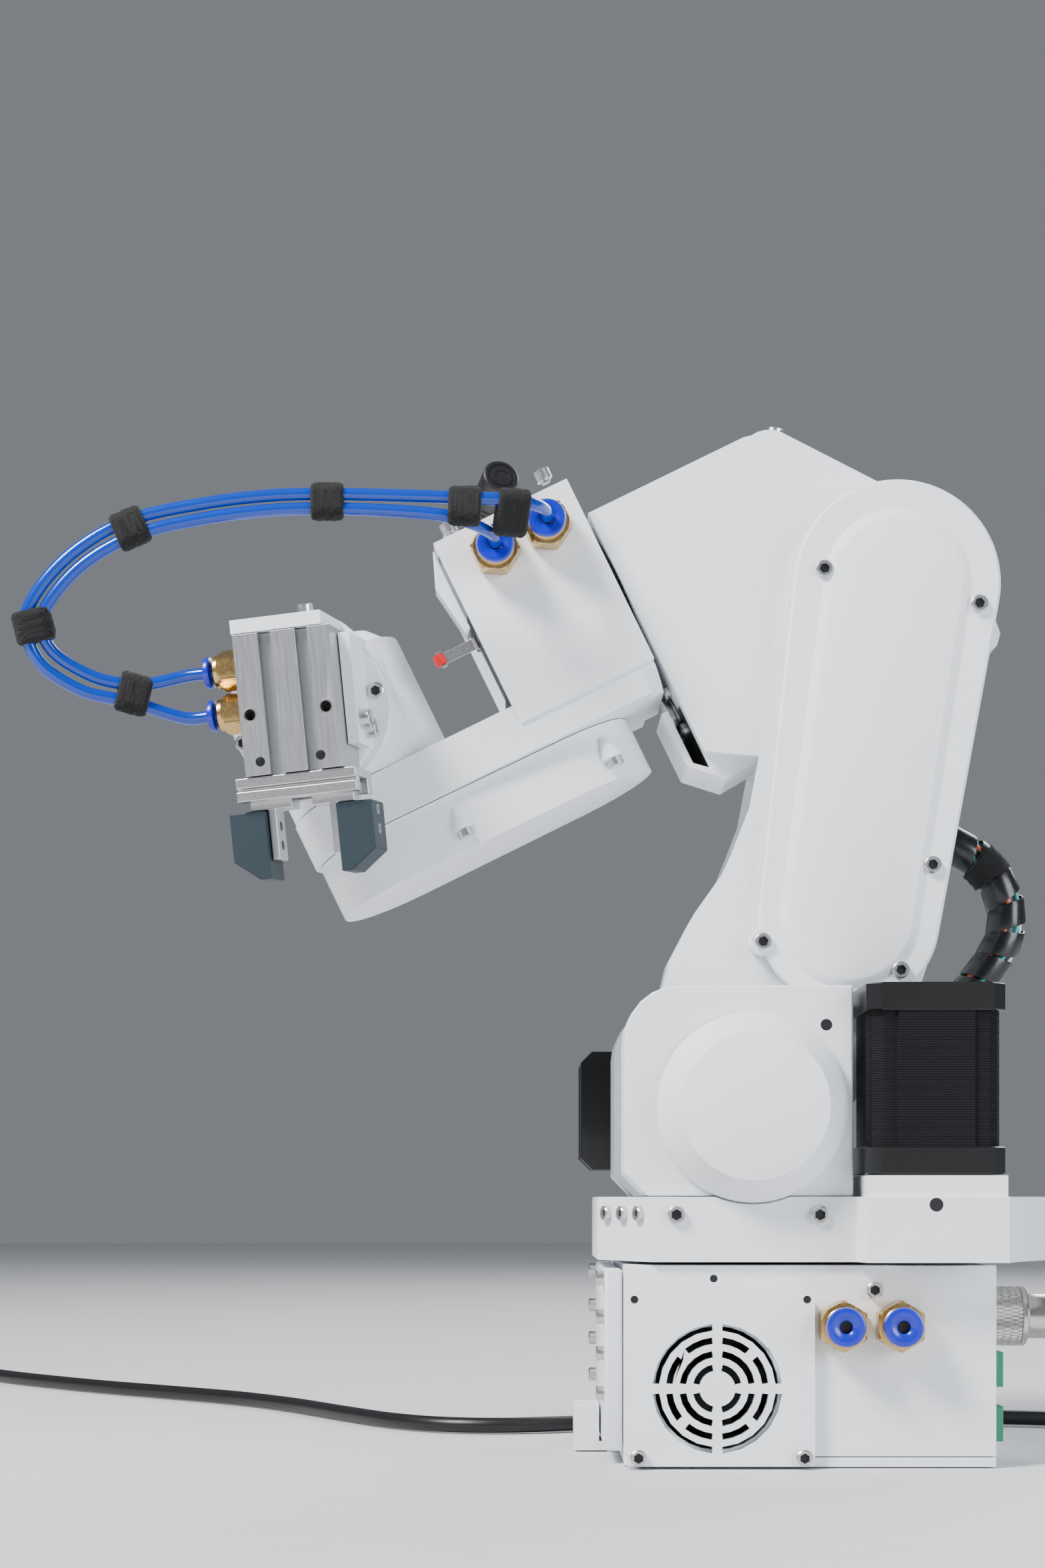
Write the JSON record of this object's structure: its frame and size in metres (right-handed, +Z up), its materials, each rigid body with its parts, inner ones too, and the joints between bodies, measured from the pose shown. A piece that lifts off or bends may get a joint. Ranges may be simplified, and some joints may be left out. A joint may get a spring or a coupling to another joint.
{
  "type": "articulated robot arm",
  "caption": "Desktop six-axis robot arm with printed shells, stepper motors, belt drives and a pneumatic parallel gripper on its wrist.",
  "frame": {"origin": "point on the underside of the base, below the waist axis", "axes": "+Z up along the waist axis, the arm reaches towards -X, and the side with the fan grille faces -Y"},
  "size_m": [0.5737, 0.4725, 0.3309],
  "materials": {
    "printed_white": "matte",
    "motor_black": "satin",
    "dark_plastic": "satin",
    "finger_teal": "matte",
    "terminal_green": "satin",
    "hose_blue": "gloss",
    "cable_black": "satin",
    "sleeve_black": "satin",
    "steel": "satin",
    "nickel": "satin",
    "aluminium": "satin",
    "brass": "satin"
  },
  "bodies": {
    "base": {"base_shell": "printed_white", "base_floor": "printed_white", "front_panel": "printed_white", "fan_cover": "printed_white", "fan_frame": "dark_plastic", "base_fitting_1": "brass", "base_fitting_2": "brass", "control_board": "terminal_green", "terminal_block": "terminal_green", "rear_socket": "nickel", "waist_pulley": "steel", "waist_bearing": "steel", "cable": "cable_black", "cable_coil": "cable_black", "cable_plug": "nickel", "cable_end": "nickel"},
    "fan": {"fan_rotor": "dark_plastic"},
    "turntable": {"turntable": "printed_white", "shoulder_near": "printed_white", "shoulder_far": "printed_white", "shoulder_cap": "printed_white", "shoulder_bearing": "steel", "shoulder_motor": "motor_black", "waist_motor": "motor_black", "arm_conduit": "sleeve_black"},
    "waist_pinion": {"waist_motor_pulley": "steel"},
    "shoulder_pinion": {"shoulder_motor_pulley": "steel"},
    "upper_arm": {"upper_arm_frame": "printed_white", "elbow_motor": "motor_black", "upper_arm_cover": "printed_white", "shoulder_shaft": "steel"},
    "elbow_pinion": {"elbow_motor_pulley": "steel"},
    "elbow": {"elbow_pulley": "steel", "elbow_housing": "printed_white", "roll_motor": "motor_black"},
    "wrist": {"wrist_housing": "printed_white", "wrist_lid": "printed_white", "roll_pulley": "steel", "wrist_belt_cover": "printed_white", "wrist_motor": "motor_black", "limit_switch": "dark_plastic", "forearm_fitting_1": "brass", "forearm_fitting_2": "brass", "connector_cap": "dark_plastic", "hose_1": "hose_blue", "hose_2": "hose_blue"},
    "limit_lever": {"limit_lever": "dark_plastic"},
    "hand": {"hand_housing": "printed_white", "hand_motor": "motor_black", "wrist_axle": "steel"},
    "tool": {"tool_flange": "nickel", "tool_bracket": "printed_white", "gripper_body": "aluminium", "gripper_rail": "steel", "gripper_fitting_1": "brass", "gripper_fitting_2": "brass"},
    "jaw_left": {"jaw_left": "steel", "finger_left": "finger_teal"},
    "jaw_right": {"jaw_right": "steel", "finger_right": "finger_teal"}
  },
  "joints": [
    {"name": "waist", "type": "hinge", "parent": "base", "child": "turntable", "pos_m": [0, 0, 0.063], "axis": [0, 0, 1], "range_deg": [-123, 123]},
    {"name": "shoulder", "type": "hinge", "parent": "turntable", "child": "upper_arm", "pos_m": [-0.0234, 0, 0.1105], "axis": [0, 1, 0], "range_deg": [-86, 38], "deforming": ["arm_conduit"]},
    {"name": "elbow", "type": "hinge", "parent": "upper_arm", "child": "elbow", "pos_m": [0.026, 0, 0.27943], "axis": [0, -1, 0], "range_deg": [-165, 5]},
    {"name": "forearm_roll", "type": "hinge", "parent": "elbow", "child": "wrist", "pos_m": [-0.06498, 0, 0.28345], "axis": [-0.8988, 0, -0.4384], "range_deg": [-105, 105]},
    {"name": "wrist", "type": "hinge", "parent": "wrist", "child": "hand", "pos_m": [-0.15396, 0, 0.24005], "axis": [-0.4384, 0, 0.8988], "range_deg": [-169, 11], "deforming": ["hose_1", "hose_2"]},
    {"name": "tool_roll", "type": "hinge", "parent": "hand", "child": "tool", "pos_m": [-0.15979, -0.03338, 0.23721], "axis": [-0.1715, -0.9816, -0.0836], "range_deg": [-180, 180], "deforming": ["hose_1", "hose_2"]},
    {"name": "jaw_left_slide", "type": "slide", "parent": "tool", "child": "jaw_left", "axis": [0.9808, -0.1781, 0.0796], "range_m": [0, 0.003]},
    {"name": "jaw_right_slide", "type": "slide", "parent": "tool", "child": "jaw_right", "axis": [-0.9808, 0.1781, -0.0796], "range_m": [0, 0.003]},
    {"name": "fan_spin", "type": "hinge", "parent": "base", "child": "fan", "pos_m": [-0.0344, -0.054, 0.0243], "axis": [0, 1, 0], "continuous": true},
    {"name": "waist_pinion_spin", "type": "hinge", "parent": "turntable", "child": "waist_pinion", "pos_m": [0.0315, -0.0542, 0.072], "axis": [0, 0, 1], "continuous": true},
    {"name": "shoulder_pinion_spin", "type": "hinge", "parent": "turntable", "child": "shoulder_pinion", "pos_m": [-0.052, 0.049, 0.114], "axis": [0, 1, 0], "continuous": true},
    {"name": "elbow_pinion_spin", "type": "hinge", "parent": "upper_arm", "child": "elbow_pinion", "pos_m": [0.01051, -0.028, 0.17195], "axis": [0, -1, 0], "continuous": true},
    {"name": "limit_lever_press", "type": "hinge", "parent": "wrist", "child": "limit_lever", "pos_m": [-0.10844, -0.0241, 0.2617], "axis": [0.4384, 0, -0.8988], "range_deg": [0, 8], "stiffness_Nm_per_rad": 0.004}
  ],
  "couplings": [
    {"joint": "jaw_right_slide", "follows": "jaw_left_slide", "ratio": 1},
    {"joint": "waist_pinion_spin", "follows": "waist", "ratio": -4.5},
    {"joint": "shoulder_pinion_spin", "follows": "shoulder", "ratio": 2.8333},
    {"joint": "elbow_pinion_spin", "follows": "elbow", "ratio": 4}
  ]
}
